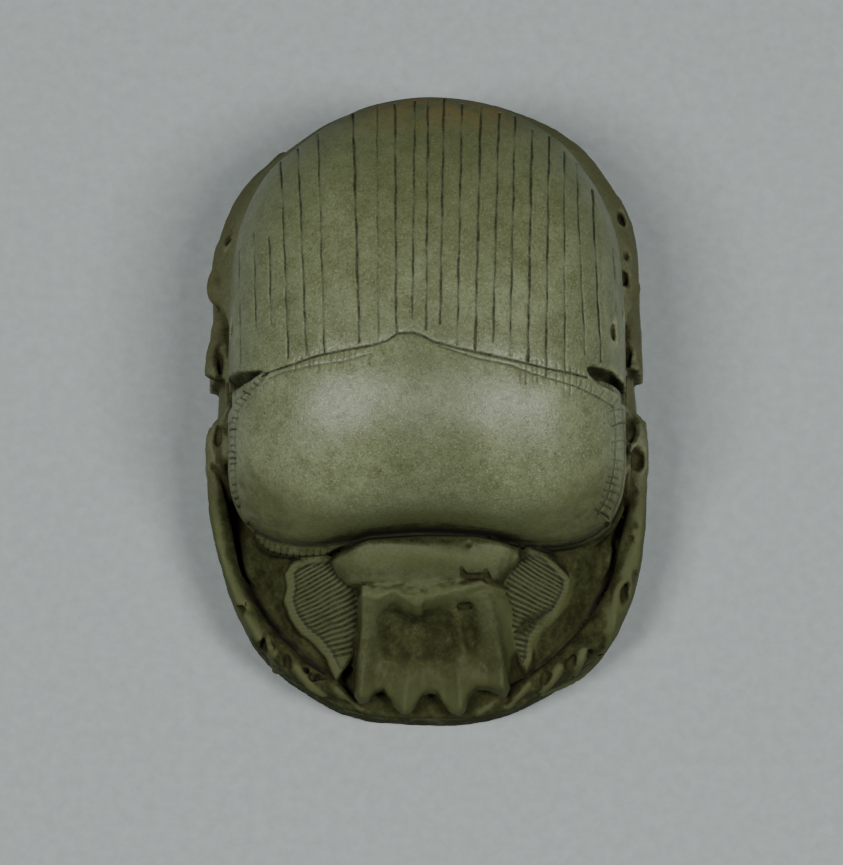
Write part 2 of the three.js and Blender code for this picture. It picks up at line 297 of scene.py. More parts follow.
def notches(x, y, z):
    def hole(u, v, w):
        plan = np.minimum(outline_gap(u, v, LEFT_NOTCH), outline_gap(u, v, RIGHT_NOTCH))
        wedge = np.minimum(outline_gap(u, v, LEFT_WEDGE), outline_gap(u, v, RIGHT_WEDGE))
        depth = 0.35 + 1.3 * ease(-wedge, -0.1, 0.35)
        return soft_max(soft_max(plan, -depth - back_gap(u, v, w), 0.15), FLANK_TOP - w, 0.15)

    return near(x, y, z, (-21.5, -6.0, 5.0), (21.5, 5.0, 20.0), hole)


# Legs in relief along the flanks: x, y, z and half thickness down each limb, right side.
HIND_LEG = [(17.6, 9.3, 6.4, 1.2), (18.85, 10.3, 6.5, 1.25), (18.6, 12.0, 6.2, 1.1), (17.9, 15.4, 5.7, 1.0),
            (16.2, 19.4, 5.2, 1.0), (13.4, 23.1, 4.8, 0.9)]
MIDDLE_LEG = [(17.4, 1.6, 6.9, 1.1), (18.95, 2.6, 6.9, 1.2), (18.9, 4.0, 6.6, 1.15), (18.5, 7.0, 5.9, 1.0),
              (18.0, 11.0, 5.0, 0.9)]
SHOULDER = [(17.9, -2.6, 7.6, 0.9), (18.9, -3.6, 7.4, 1.0), (18.9, -6.2, 7.0, 1.0)]
FRONT_LEG = [(18.6, -5.0, 6.6, 1.2), (18.75, -9.0, 6.3, 1.15), (18.6, -13.0, 5.8, 1.2),
             (17.5, -17.4, 5.3, 1.3), (15.1, -21.1, 4.9, 1.25), (11.6, -24.4, 4.5, 1.05),
             (7.8, -26.4, 4.2, 0.7)]
KNEE_ENDS = {"hind": 8.7, "middle": 1.9}
RIGHT_KNEES_IN = 0.75


def limbs(x, y, z):
    side = np.abs(x)
    knee_side = side + RIGHT_KNEES_IN * (x > 0)
    hind = soft_max(rod(knee_side, y, z, HIND_LEG), KNEE_ENDS["hind"] - y + 0.5 * (19.0 - side), 0.15)
    middle = soft_max(rod(knee_side, y, z, MIDDLE_LEG), KNEE_ENDS["middle"] + 0.7 * (x > 0) - y, 0.15)
    front = soft_min(rod(side, y, z, FRONT_LEG), rod(side, y, z, SHOULDER), 0.4)
    legs = soft_min(soft_min(hind, middle, 0.2), front, 0.25)
    limit = plinth_gap(x, y) - 0.55 * ease(z, 4.2, 6.5) * ease(y, -8.0, 0.0) - 0.02
    return soft_max(legs, limit, 0.4)


# The head


def pixels(height, *places):
    """Corners read off the photograph at one height, as plan places in mm."""
    return [tuple(from_photo(px, py, height)[:2]) for px, py in places]


SHIELD = pixels(
    8.5,
    (362, 590), (389, 586), (419, 583), (444, 582), (482, 582), (495, 624), (502, 654), (507, 681),
    (504, 687), (497, 685), (487, 682), (477, 681), (468, 690), (463, 704), (458, 708), (451, 706),
    (444, 697), (437, 687), (430, 685), (423, 688), (416, 698), (410, 707), (404, 708), (398, 703),
    (391, 692), (383, 683), (375, 686), (368, 693), (361, 694), (357, 689), (358, 659), (362, 625),
)
BROW = pixels(
    11.6,
    (332, 558), (337, 553), (369, 542), (424, 537), (474, 538), (519, 547), (518, 555), (500, 577),
    (489, 578), (466, 575), (455, 578), (424, 580), (389, 582), (364, 582), (349, 579), (338, 569),
)
LEFT_CHEEK = pixels(
    8.6,
    (285, 572), (293, 561), (307, 557), (325, 556), (340, 563), (352, 584), (360, 600), (358, 619),
    (355, 639), (353, 652), (342, 666), (336, 673), (330, 664), (325, 652), (315, 640), (300, 628),
    (289, 613), (284, 598), (287, 585),
)
RIGHT_CHEEK = pixels(
    8.6,
    (520, 556), (527, 549), (546, 555), (560, 567), (570, 577), (569, 588), (564, 600), (557, 611),
    (544, 622), (534, 636), (532, 654), (527, 664), (521, 657), (514, 640), (508, 620), (503, 600),
    (506, 580),
)

PRONGS = [-5.9, -1.9, 2.9, 6.8]
# The ragged crest along the shield's rear, broken in the middle.
SHIELD_CREST = pixels(
    10.6,
    (364, 596), (377, 598), (387, 596), (394, 593), (408, 601), (420, 605), (426, 600), (440, 596),
    (454, 592), (468, 590), (480, 586),
)
CREST_RUN = smooth_run(SHIELD_CREST)


def shield_hollow(x, y, edge):
    """The depth of the shield's dish, shallower down its middle ridge and towards the prongs."""
    behind = y - np.interp(x, CREST_RUN[:, 0], CREST_RUN[:, 1]) + 0.14 * ripple(x, y, 0.0, 1.2, 8)
    hollow = 1.7 * ease(-edge, 0.3, 3.0) * ease(-behind, 0.0, 1.6) + 0.35 * ease(-behind, 0.0, 0.5)
    hollow = hollow * (1.0 - 0.4 * hump(x - 3.0 + 0.25 * (y + 22), 0.7)) * (1.0 - 0.8 * ease(-y, 20.5, 26.5))
    return hollow, behind


def shield_top(x, y, edge):
    """The shield's face: falling forwards, hollowed inside its rims and its crest, with tented prongs."""
    hollow, behind = shield_hollow(x, y, edge)
    fall = SHIELD_TOP + 0.5 * (np.minimum(y, -18.9) + 18.9)
    crest = (0.22 + 0.1 * ripple(x, y, 0.0, 1.1, 6)) * hump(behind - 0.15, 0.6)
    crest = crest * (1.0 - 0.8 * hump(x + 0.8, 0.8))
    valley = (0.05 + 0.12 * ripple(x, y, 0.0, 0.8, 5)) * ease(behind, 0.3, 0.9)
    tent = sum(np.clip(1.0 - np.abs(x - px + 0.1 * (y + 27) * np.sign(px)) / 1.3, 0.0, 1.0) for px in PRONGS)
    tents = (1.0 * tent - 0.45) * ease(-y, 21.0, 27.0)
    tents = tents + 0.07 * ripple(x, y, 0.0, 1.6, 14)
    return fall - hollow + crest - valley + tents


def even_spread(amount):
    return lambda x, y: amount


def shield_spread(x, y):
    """The shield's right wall leans out, most at the rear."""
    return 0.2 + 0.75 * ease(x, 1.0, 4.0) * ease(y, -26.5, -19.5)


def plate_gap(x, y, z, corners, top, bottom, spread, rounding, reach=2.2):
    """A raised plate: an outline in plan, a face that may slope, and sides that spread downwards."""
    low = np.min(corners, axis=0) - reach
    high = np.max(corners, axis=0) + reach

    def gap(u, v, w):
        edge = outline_gap(u, v, corners)
        face = top(u, v, np.minimum(edge, 0.0))
        sides = edge - spread(u, v) * np.clip(face - w, 0.0, 2.5)
        return soft_max(soft_max(sides, w - face, rounding), bottom - w, 0.3)

    return near(x, y, z, (low[0], low[1], -FAR), (high[0], high[1], 20.0), gap)


def cheek_top(x, y, edge):
    return CHEEK_TOP - 0.26 * (np.abs(x) - 6.5) + 0.4 * (y + 15.0)


def brow_top(x, y, edge):
    """The brow's face: level along its rear, then falling to the shield, bevelled down at both ends."""
    past = np.abs(x - 0.2) - 6.3
    ends = 0.35 * (past + np.sqrt(past * past + 0.3))
    ahead = -y - 15.5
    fall = 0.34 * (ahead + np.sqrt(ahead * ahead + 0.25))
    rear_band = 0.15 * hump(y + 14.6, 0.5)
    crumbly = 0.07 * ripple(x, y, 0.0, 1.2, 10) * ease(-y, 16.5, 17.5)
    return BROW_TOP - fall - ends + rear_band + crumbly + 0.16 * ripple(x, y, 0.0, 2.8, 9)


def head(x, y, z):
    shield = plate_gap(x, y, z, SHIELD, shield_top, 5.3, shield_spread, 0.3)
    brow = plate_gap(x, y, z, BROW, brow_top, 6.0, even_spread(0.25), 0.5)
    cheeks = np.minimum(
        plate_gap(x, y, z, LEFT_CHEEK, cheek_top, 3.5, even_spread(0.2), 0.25),
        plate_gap(x, y, z, RIGHT_CHEEK, cheek_top, 3.5, even_spread(0.45), 0.25),
    )
    neck = soft_max(np.abs(x) - 5.2 - 0.1 * (y + 24.0), np.abs(y + 19.0) - 5.6, 1.0)
    neck = soft_max(neck, z - 8.0 - 0.3 * (y + 19.0), 0.4)
    return soft_min(soft_min(soft_min(shield, neck, 0.3), cheeks, 0.15), brow, 0.2)


# Lines cut into the back, each by its place on the photograph

# The ribs of the wing cases: the pixel where each line starts and ends, and how strongly it is cut.
WING_LINES = [
    ((239, 251), (241, 363), 0.5), ((254, 233), (256, 334), 0.6), ((269, 236), (271, 324), 0.7),
    ((281, 161), (288, 358), 0.75), ((298, 148), (306, 355), 0.8), ((318, 133), (324, 353), 0.7),
    ((334, 174), (343, 353), 0.35), ((353, 113), (359, 342), 1.0), ((377, 104), (378, 342), 0.6),
    ((395, 104), (396, 333), 0.9), ((415, 101), (412, 318), 0.8), ((428, 100), (426, 330), 0.85),
    ((444, 98), (440, 324), 0.9), ((462, 104), (457, 345), 0.85), ((481, 107), (475, 353), 0.95),
    ((499, 113), (493, 342), 0.85), ((515, 116), (510, 356), 0.8), ((532, 130), (528, 362), 1.0),
    ((549, 136), (546, 377), 0.85), ((564, 151), (565, 374), 0.7), ((576, 163), (585, 355), 0.7),
    ((592, 189), (601, 362), 0.85), ((613, 248), (616, 312), 0.5),
]
# Fainter second passes beside some of them.
SECOND_LINES = [
    ((417, 150), (409, 322), 0.35), ((431, 130), (424, 240), 0.4), ((537, 190), (531, 330), 0.35),
    ((553, 140), (549, 260), 0.35), ((597, 215), (604, 320), 0.35), ((340, 240), (345, 352), 0.25),
    ((378, 200), (374, 300), 0.2), ((471, 160), (467, 320), 0.2), ((505, 180), (501, 330), 0.2),
]
SUTURE = [(262, 375), (292, 365), (318, 356), (348, 350), (371, 346), (387, 341), (397, 334), (413, 333),
          (422, 336), (433, 342), (459, 349), (488, 355), (518, 362), (547, 369), (587, 378)]
SUTURE_SECOND_LEFT = [(268, 379), (283, 373), (312, 366), (342, 362), (371, 354)]
SUTURE_SECOND_RIGHT = [(438, 346), (477, 359), (512, 366), (532, 374), (556, 381), (576, 387), (597, 397),
                       (613, 407)]
THORAX_LEFT_RIM = [(264, 378), (248, 396), (238, 412), (235, 430), (235, 460), (236, 492), (240, 508)]
THORAX_RIGHT_RIM = [(613, 407), (616, 428), (615, 446), (615, 461), (612, 480), (607, 498), (598, 514)]
THORAX_RIGHT_EDGE = [(622, 409), (624, 431), (625, 449), (624, 473), (621, 492), (614, 512)]
LINE_HALF = 0.2
LINE_DEPTH = 0.17


def cross_strokes(line, spacing, before, after, seed, strength, upright):
    """Short strokes across a line of pixels, in pixels, with a hand's unevenness."""
    dice = np.random.RandomState(seed)
    run = np.array(line, dtype=float)
    steps = np.linalg.norm(np.diff(run, axis=0), axis=1)
    distance = np.concatenate([[0], np.cumsum(steps)])
    strokes = []
    place = spacing / 2
    while place < distance[-1]:
        x = np.interp(place, distance, run[:, 0])
        y = np.interp(place, distance, run[:, 1])
        ahead = min(place + 2, distance[-1])
        way = np.array([np.interp(ahead, distance, run[:, 0]) - x, np.interp(ahead, distance, run[:, 1]) - y])
        side = np.array([0.0, 1.0]) if upright else np.array([-way[1], way[0]]) / max(np.hypot(*way), 1e-6)
        first = -before * dice.uniform(0.6, 1.3)
        last = after * dice.uniform(0.6, 1.4)
        start = (x + side[0] * first, y + side[1] * first)
        end = (x + side[0] * last + dice.uniform(-1, 1), y + side[1] * last)
        strokes.append((start, end, strength * dice.uniform(0.6, 1.1)))
        place += spacing * dice.uniform(0.75, 1.25)
    return strokes


def back_strokes():
    """Every line on the back as points in plan, its half width, its depth and how it breaks up."""
    short = cross_strokes(SUTURE[1:5], 6.5, 4, 13, 11, 0.5, True)
    short += cross_strokes(SUTURE[12:], 7.0, 6, 15, 12, 0.5, True)
    short += cross_strokes(SUTURE_SECOND_RIGHT[5:], 5.5, 7, 2, 13, 0.5, False)
    short += cross_strokes(THORAX_LEFT_RIM, 6.5, 1, 6, 14, 0.75, False)
    short += cross_strokes(THORAX_RIGHT_RIM, 8.5, 9, 5, 15, 0.6, False)
    long_lines = [(SUTURE, 0.7), (SUTURE_SECOND_LEFT, 0.4), (SUTURE_SECOND_RIGHT, 0.5),
                  (THORAX_RIGHT_RIM, 0.42), (THORAX_RIGHT_EDGE, 0.35), (THORAX_LEFT_RIM, 0.35)]
    strokes = []
    for start, end, strength in WING_LINES + SECOND_LINES:
        rows = back_places(*(np.array(start) + (np.array(end) - start) * t for t in np.linspace(0, 1, 6)))
        strokes.append((rows, LINE_HALF * (0.7 + 0.4 * strength), LINE_DEPTH * strength, True))
    for start, end, strength in short:
        strokes.append((back_places(start, end), LINE_HALF * 0.8, LINE_DEPTH * strength, False))
    for line, strength in long_lines:
        strokes.append((back_places(*line), LINE_HALF, LINE_DEPTH * 1.2 * strength, False))
    return strokes


BACK_STROKES = back_strokes()
# The hatching of the collar at the left, from the thorax's edge outwards.
COLLAR_TICKS = [
    ((256, 533), (252, 540)), ((260, 536), (256, 545)), ((265, 539), (261, 549)), ((270, 541), (267, 552)),
    ((276, 543), (273, 554)), ((282, 545), (280, 554)), ((288, 546), (286, 555)), ((294, 547), (293, 555)),
    ((300, 547), (299, 556)), ((307, 548), (306, 556)), ((314, 547), (313, 556)), ((321, 547), (320, 555)),
    ((328, 546), (327, 553)),
]


def stroke_depth(x, y, rows, half, depth, broken, seed, widen):
    """How deep one line is cut at each place in plan."""
    low = np.min(rows, axis=0) - half - widen
    high = np.max(rows, axis=0) + half + widen
    inside = (x > low[0]) & (x < high[0]) & (y > low[1]) & (y < high[1])
    cut = np.zeros(x.shape, dtype=x.dtype)
    if not inside.any():
        return cut
    u, v = x[inside], y[inside]
    if broken:
        u = u + 0.025 * np.sin(v * 0.9 + seed) + 0.02 * np.sin(v * 2.3 + 2.0 * seed)
    gap, along = line_gap(u, v, rows)
    if widen:
        cut[inside] = (gap < half + widen) * depth
        return cut
    strength = 1.0
    if broken:
        wave = 0.35 * np.sin(along * 1.1 + 3 * seed) * np.sin(along * 0.43 + seed)
        strength = np.clip(0.85 + wave, 0.5, 1.0)
    cut[inside] = depth * strength * (1.0 - ease(gap, 0.0, half))
    return cut


def engraving(x, y, z, widen=0.0):
    """Depth of every line cut into the surface; with widen, wider marks of where lines are."""
    cut = np.zeros(x.shape, dtype=x.dtype)
    top = (z > WING_EDGE + 0.2) & (y > -16.5)
    if top.any():
        u, v = x[top], y[top]
        lines = np.zeros(u.shape, dtype=x.dtype)
        for number, (rows, half, depth, broken) in enumerate(BACK_STROKES):
            lines = np.maximum(lines, stroke_depth(u, v, rows, half, depth, broken, number, widen))
        lines = lines * ease(z[top], WING_EDGE + 0.2, WING_EDGE + 0.8)
        cut[top] = lines
    front = (y < -12.0) & (z > 3.0)
    if front.any():
        cut[front] = np.maximum(cut[front], head_lines(x[front], y[front], z[front], widen))
    return cut


SUTURE_PLAN = back_places(*SUTURE)
COLLAR_PLAN = [pixels(COLLAR_TOP, *tick) for tick in COLLAR_TICKS]
RIB_SPACING = 0.38
LEFT_BORDER = 0.8
RIGHT_BORDER = 0.6
RIB_DEPTH = 0.19


def cheek_border(corners):
    """The outer run of a cheek's outline, between its rear and its tip."""
    tip = min(range(len(corners)), key=lambda i: corners[i][1])
    return corners[tip:] + corners[:4] if corners[0][0] < 0 else corners[: tip + 1]


BROW_CUTS = [((504, 563), (500, 579)), ((514, 554), (505, 577))]
BROW_PLAN = [pixels(11.2, *cut) for cut in BROW_CUTS]


def head_lines(x, y, z, widen):
    """The ribs of the cheeks, the notches of the collar and the groove round the plinth's front."""
    cut = np.zeros(x.shape, dtype=x.dtype)
    for corners, border_width in ((LEFT_CHEEK, LEFT_BORDER), (RIGHT_CHEEK, RIGHT_BORDER)):
        low = np.min(corners, axis=0)
        high = np.max(corners, axis=0)
        inside = (x > low[0]) & (x < high[0]) & (y > low[1]) & (y < high[1]) & (z > 5.0)
        if not inside.any():
            continue
        u, v = x[inside], y[inside]
        edge = -line_gap(u, v, cheek_border(corners))[0]
        within = (outline_gap(u, v, corners) < -0.15) & (z[inside] < cheek_top(u, v, 0.0) + 0.3)
        if widen:
            cut[inside] = np.maximum(cut[inside], within * RIB_DEPTH)
            continue
        slant = np.clip(0.5 + 0.05 * (v + 16.0), 0.12, 0.5)
        phase = (v - slant * (12.0 - np.abs(u))) / RIB_SPACING + 0.12 * ripple(u, v, 0.0, 2.5, 31)
        rib = 0.5 + 0.5 * np.cos(2 * math.pi * phase)
        border = 0.1 * hump(edge + border_width, 0.14)
        ribs = RIB_DEPTH * rib**2.0 * (0.3 + 0.7 * ease(-edge, border_width - 0.1, border_width + 0.1))
        ribs = ribs * ease(v, -24.0, -23.3)
        cut[inside] = np.maximum(cut[inside], (ribs + border) * within)
    for number, rows in enumerate(COLLAR_PLAN):
        tick = stroke_depth(x, y, rows, 0.17, 0.1, False, number, widen)
        cut = np.maximum(cut, tick * ((z > 8.5) & (z < 11.0)))
    share = back_share(x, y)
    crease = (share - 1.0) * np.hypot(x, y) / share - 0.05
    crease = 0.22 * hump(crease, 0.13 + widen) * ease(-y, 9.5, 12.0) * ease(z, 8.5, 9.5)
    groove = 0.32 * hump(z - FRONT_GROOVE, 0.17 + widen) * ease(-y, 20.0, 24.5)
    return np.maximum(cut, np.maximum(groove, crease))


def hollows(x, y, z):
    """Shallow clean dips: along the suture, and the two facets at the brow's right end."""
    dip = np.zeros(x.shape, dtype=x.dtype)
    top = (z > WING_EDGE + 1.5) & (y > -4.0) & (y < 9.0)
    if top.any():
        dip[top] = 0.05 * hump(line_gap(x[top], y[top], SUTURE_PLAN)[0], 0.7)
    front = (y < -13.0) & (z > 9.0) & (x > 4.0)
    if front.any():
        for rows in BROW_PLAN:
            dip[front] += 0.22 * hump(line_gap(x[front], y[front], rows)[0], 0.3)
    return dip


# The whole stone


def ground(x, y, z, rim):
    """The sunk ground round the head, falling to the plinth's edge."""
    inward = -rim
    rise = 0.8 * np.clip(inward - 1.8, 0.0, 4.4)
    top = PLINTH_TOP + rise * ease(-y, 6.0, 13.0)
    top = top + 0.07 * ripple(x, y, z, 1.3, 21) * ease(inward, 1.0, 2.5)
    return soft_max(rim + 0.9, z - top, 0.4)


def flank_top(x, y, flank):
    """The band beside the wing cases: stepped down in front of each knee, with a strip to the shoulder."""
    out = np.clip(flank, 0.0, 3.0)
    hind_step = 6.3 + 2.4 * (1.0 - np.exp(-out / 0.5)) + 0.4 * out
    middle_step = 1.35 + 0.4 * out + 0.7 * (x > 0)
    below_hind = ease(hind_step - y, 0.0, 0.3) * ease(y, middle_step + 1.0, hind_step)
    below_middle = ease(middle_step - y, 0.0, 0.35) * ease(y, -4.0, -2.0)
    strip = 1.1 * hump(y + 1.3 + 1.35 * out, 0.75) * (y < middle_step)
    return FLANK_TOP - 1.0 * out - 1.2 * below_hind - 1.2 * below_middle + strip


def broad_forms(x, y, z):
    """How far outside the stone's broad forms a place is."""
    rim = plinth_gap(x, y) + 0.06 * ripple(x, y, z, 9.0, 3)
    plinth = soft_max(rim, z - PLINTH_TOP, 0.7)
    share = back_share(x, y)
    flank = (share - 1.0) * np.hypot(x, y) / share
    core = soft_max(flank + 1.0, z - WING_EDGE - 0.6, 0.4)
    collar_reach = 0.45 - 0.25 * ease(x, 7.0, 9.0) + 0.65 * ease(-x, 7.5, 9.5) * ease(x, -16.0, -13.8)
    collar_top = COLLAR_TOP + 0.9 * ease(6.5 - np.abs(x), 0.0, 1.5)
    collar = soft_max(flank - collar_reach, z - collar_top + 0.35 * flank, 0.2)
    collar = soft_max(soft_max(collar, y + 11.5, 0.8), -x - 15.5, 0.5)
    wall = soft_max(rim + 0.25 + 0.12 * (z - PLINTH_TOP), z - flank_top(x, y, flank), 0.3)
    wall = soft_max(wall, -6.0 - y, 1.0)
    strip = soft_max(flank - 0.75 * (x > 0) + 0.3, z - 8.6 - 0.2 * (y + 6.0), 0.3)
    strip = soft_max(strip, y + 4.0, 0.5)
    whole = soft_min(soft_min(soft_min(plinth, core, 0.5), wall, 0.4), strip, 0.2)
    whole = soft_min(whole, ground(x, y, z, rim), 0.3)
    whole = soft_min(whole, collar, 0.25)
    whole = soft_min(whole, limbs(x, y, z), 0.35)
    whole = soft_min(whole, back_gap(x, y, z), 0.2)
    whole = soft_max(whole, -notches(x, y, z), 0.15)
    whole = soft_min(whole, head(x, y, z), 0.2)
    whole = whole + 0.035 * ripple(x, y, z, 5.0, 1)
    whole = whole + 0.05 * ripple(x, y, z, 1.5, 22) * ease(WING_EDGE - z, 0.0, 1.0)
    return soft_max(whole, -z, 0.35)


# Pits, grooves and ridges along the legs, each at the place on the stone that shows at a pixel

# Each pit: its pixel, and how far it reaches across, along and down, in mm.
PITS = [
    ((621, 218), (0.35, 0.7, 0.7)), ((626, 255), (0.25, 0.5, 0.5)), ((624, 278), (0.42, 0.8, 0.9)),
    ((624, 314), (0.35, 1.0, 0.9)), ((613, 332), (0.3, 0.7, 0.7)), ((627, 356), (0.45, 1.35, 1.1)),
    ((638, 461), (0.5, 1.1, 0.6)), ((630, 425), (0.6, 1.5, 0.45)), ((625, 597), (0.45, 1.2, 0.6)),
    ((636, 578), (0.35, 0.7, 0.8)), ((591, 653), (0.55, 0.35, 1.0)), ((571, 664), (0.5, 0.9, 0.6)),
    ((545, 679), (0.6, 0.8, 0.6)), ((228, 236), (0.45, 1.0, 0.35)),
    ((231, 329), (0.3, 0.75, 0.5)), ((220, 361), (0.22, 1.2, 0.4)), ((218, 438), (0.35, 1.2, 0.4)),
    ((240, 614), (0.5, 0.75, 1.0)), ((265, 647), (0.45, 0.85, 1.1)), ((305, 671), (0.4, 0.35, 0.9)),
    ((316, 677), (0.75, 0.4, 0.9)), ((287, 663), (0.4, 0.9, 0.7)), ((347, 676), (0.7, 1.1, 0.9)),
    ((630, 538), (0.28, 0.3, 0.3)), ((636, 525), (0.22, 0.22, 0.25)), ((635, 490), (0.22, 0.22, 0.25)),
    ((464, 606), (0.8, 0.35, 0.5)), ((468, 545), (0.2, 0.22, 0.2)),
]
# The grooves along the inner side of the front legs: pixel and radius down each.
LEG_GROOVES = [
    [(210, 464, 0.2), (218, 473, 0.25), (225, 482, 0.35), (231, 505, 0.4), (236, 535, 0.55), (240, 560, 0.55),
     (248, 580, 0.3)],
    [(627, 451, 0.25), (626, 472, 0.35), (624, 495, 0.35), (620, 522, 0.4), (615, 545, 0.45),
     (608, 566, 0.3)],
    [(218, 348, 0.15), (220, 360, 0.18), (220, 374, 0.15)],
    [(461, 569, 0.15), (465, 576, 0.28), (474, 577, 0.28), (482, 576, 0.25)],
    [(486, 572, 0.22), (487, 579, 0.34)],
]
# The legs' bright inner edges, the teeth along them and the crescent of the shoulder: pixel and radius.
LEG_RIDGES = [
    [(624, 580, 0.25), (617, 590, 0.35), (614, 611, 0.4), (612, 628, 0.4), (604, 649, 0.35), (592, 665, 0.3),
     (578, 677, 0.3), (560, 687, 0.25), (543, 694, 0.2)],
    [(584, 652, 0.25), (580, 663, 0.35), (573, 676, 0.3)],
    [(559, 668, 0.25), (552, 681, 0.35), (543, 690, 0.3)],
    [(527, 684, 0.2), (519, 695, 0.3), (508, 706, 0.25)],
    [(495, 696, 0.2), (488, 704, 0.25), (479, 712, 0.2)],
    [(268, 640, 0.25), (272, 652, 0.35), (276, 670, 0.35)],
    [(298, 667, 0.3), (309, 685, 0.35), (323, 694, 0.3)],
    [(328, 677, 0.3), (343, 693, 0.35), (361, 707, 0.25)],
    [(247, 616, 0.35), (254, 628, 0.35), (259, 638, 0.25)],
    [(239, 520, 0.25), (244, 545, 0.35), (249, 574, 0.35), (262, 588, 0.25)],
    [(611, 549, 0.2), (607, 567, 0.25), (600, 579, 0.2)],
    [(634, 417, 0.25), (639, 426, 0.35), (637, 438, 0.3), (629, 451, 0.2)],
]


def on_stone(pixels_seen):
    """The places on the stone's broad forms that show at pixels of the photograph."""
    heights = np.arange(CROWN + 1.0, 0.0, -0.05)
    rays = np.array([[from_photo(px, py, height) for height in heights] for px, py in pixels_seen])
    inside = broad_forms(*rays.reshape(-1, 3).T).reshape(len(pixels_seen), -1) < 0
    return rays[np.arange(len(pixels_seen)), np.argmax(inside, axis=1)]


def laid(rows, sunk_by):
    """Rows of pixel and radius laid along the stone's surface, sunk by a share of their radius."""
    places = on_stone([(px, py) for px, py, _ in rows])
    radii = np.array([radius for _, _, radius in rows])
    places[:, 2] -= sunk_by * radii
    return np.column_stack([places, radii])


def ridges(x, y, z):
    """The nearest of the bright edges and teeth along the legs."""
    whole = np.full(x.shape, FAR, dtype=x.dtype)
    for rows in RIDGE_RODS:
        whole = np.minimum(whole, rod(x, y, z, rows, 3))
    return whole


def pits(x, y, z):
    """The nearest of the ragged pits and grooves along the legs."""
    whole = np.full(x.shape, FAR, dtype=x.dtype)
    for place, reach in zip(PIT_PLACES, PIT_REACHES):
        low = place - reach - 1.0
        high = place + reach + 1.0

        def hole(u, v, w):
            shares = [(value - middle) / size for value, middle, size in zip((u, v, w), place, reach)]
            ragged = 0.28 * ripple(u, v, w, 1.1, 41)
            return (np.sqrt(sum(share * share for share in shares)) - 1.0 + ragged) * min(reach)

        whole = np.minimum(whole, near(x, y, z, low, high, hole))
    for rows in GROOVE_RODS:
        whole = np.minimum(whole, rod(x, y, z, rows, 4))
    return whole


RIDGE_RODS = [laid(rows, 0.3) for rows in LEG_RIDGES]
GROOVE_RODS = [laid(rows, 0.0) for rows in LEG_GROOVES]
PIT_PLACES = on_stone([pixel for pixel, _ in PITS])
PIT_REACHES = np.array([reach for _, reach in PITS])


def stone(x, y, z):
    """How far outside the carved stone a place is, without its fine lines."""
    whole = soft_max(broad_forms(x, y, z), -pits(x, y, z), 0.2)
    return soft_min(whole, ridges(x, y, z), 0.25)


def carved(x, y, z):
    """How far outside the stone a place is, with every line cut into it."""
    return stone(x, y, z) + engraving(x, y, z) + hollows(x, y, z)


# Turning the forms into a mesh


def rough_mesh(step):
    """Points and triangles round the stone, on a grid, each point in its cell's middle of the surface."""
    margin = 1.5
    axes = [np.arange(lo - margin, hi + margin, step, dtype=np.float32) for lo, hi in zip(LOW, HIGH)]
    shape = tuple(len(axis) for axis in axes)
    field = np.empty(shape, dtype=np.float32)
    gx, gy = np.meshgrid(axes[0], axes[1], indexing="ij")
    for k, height in enumerate(axes[2]):
        level = np.full(gx.size, height, np.float32)
        field[:, :, k] = carved(gx.ravel(), gy.ravel(), level).reshape(gx.shape)
    outside = field > 0
    cells = tuple(n - 1 for n in shape)
    corners = [(i, j, k) for i in (0, 1) for j in (0, 1) for k in (0, 1)]

    def corner(values, c):
        return values[c[0] : c[0] + cells[0], c[1] : c[1] + cells[1], c[2] : c[2] + cells[2]]

    count = sum(corner(outside, c).astype(np.int8) for c in corners)
    mixed = (count > 0) & (count < 8)
    number = np.full(cells, -1, dtype=np.int64)
    number[mixed] = np.arange(mixed.sum())
    values = {c: corner(field, c)[mixed] for c in corners}
    total = np.zeros((mixed.sum(), 3))
    hits = np.zeros(mixed.sum())
    for a in corners:
        for axis in range(3):
            if a[axis]:
                continue
            b = tuple(1 if n == axis else v for n, v in enumerate(a))
            crossing = (values[a] > 0) != (values[b] > 0)
            share = values[a][crossing] / (values[a][crossing] - values[b][crossing])
            place = np.tile(np.array(a, dtype=float), (share.size, 1))
            place[:, axis] = share
            total[crossing] += place
            hits[crossing] += 1
    base = np.argwhere(mixed)
    origin = np.array([axis[0] for axis in axes])
    points = origin + step * (base + total / hits[:, None])
    quads = []
    for axis in range(3):
        u, v = (axis + 1) % 3, (axis + 2) % 3
        low = [slice(None)] * 3
        high = [slice(None)] * 3
        low[axis] = slice(0, shape[axis] - 1)
        high[axis] = slice(1, shape[axis])
        a = outside[tuple(low)]
        b = outside[tuple(high)]
        edge = np.argwhere(a != b)
        inner = np.all((edge[:, [u, v]] > 0) & (edge[:, [u, v]] < np.array(cells)[[u, v]]), axis=1)
        edge = edge[inner]
        ring = []
        for du, dv in ((1, 1), (0, 1), (0, 0), (1, 0)):
            cell = edge.copy()
            cell[:, u] -= du
            cell[:, v] -= dv
            ring.append(number[cell[:, 0], cell[:, 1], cell[:, 2]])
        ring = np.stack(ring, axis=1)
        turned = b[edge[:, 0], edge[:, 1], edge[:, 2]]
        quads.append(np.where(turned[:, None], ring, ring[:, ::-1]))
    quads = np.vstack(quads)
    triangles = np.vstack([quads[:, [0, 1, 2]], quads[:, [0, 2, 3]]])
    return points, triangles


def settle(points, rounds, most=0.3, reach=0.03):
    """Moves points onto the carved surface."""
    way = np.zeros_like(points)
    for _ in range(rounds):
        x, y, z = points.T
        gap = carved(x, y, z)
        for axis in range(3):
            shift = np.zeros(3)
            shift[axis] = reach
            ahead = points + shift
            behind = points - shift
            way[:, axis] = (carved(*ahead.T) - carved(*behind.T)) / (2 * reach)
        square = np.maximum((way**2).sum(axis=1), 0.05)
        move = -(gap / square)[:, None] * way
        size = np.linalg.norm(move, axis=1, keepdims=True)
        points = points + move * np.minimum(1.0, most / np.maximum(size, 1e-9))
    return points


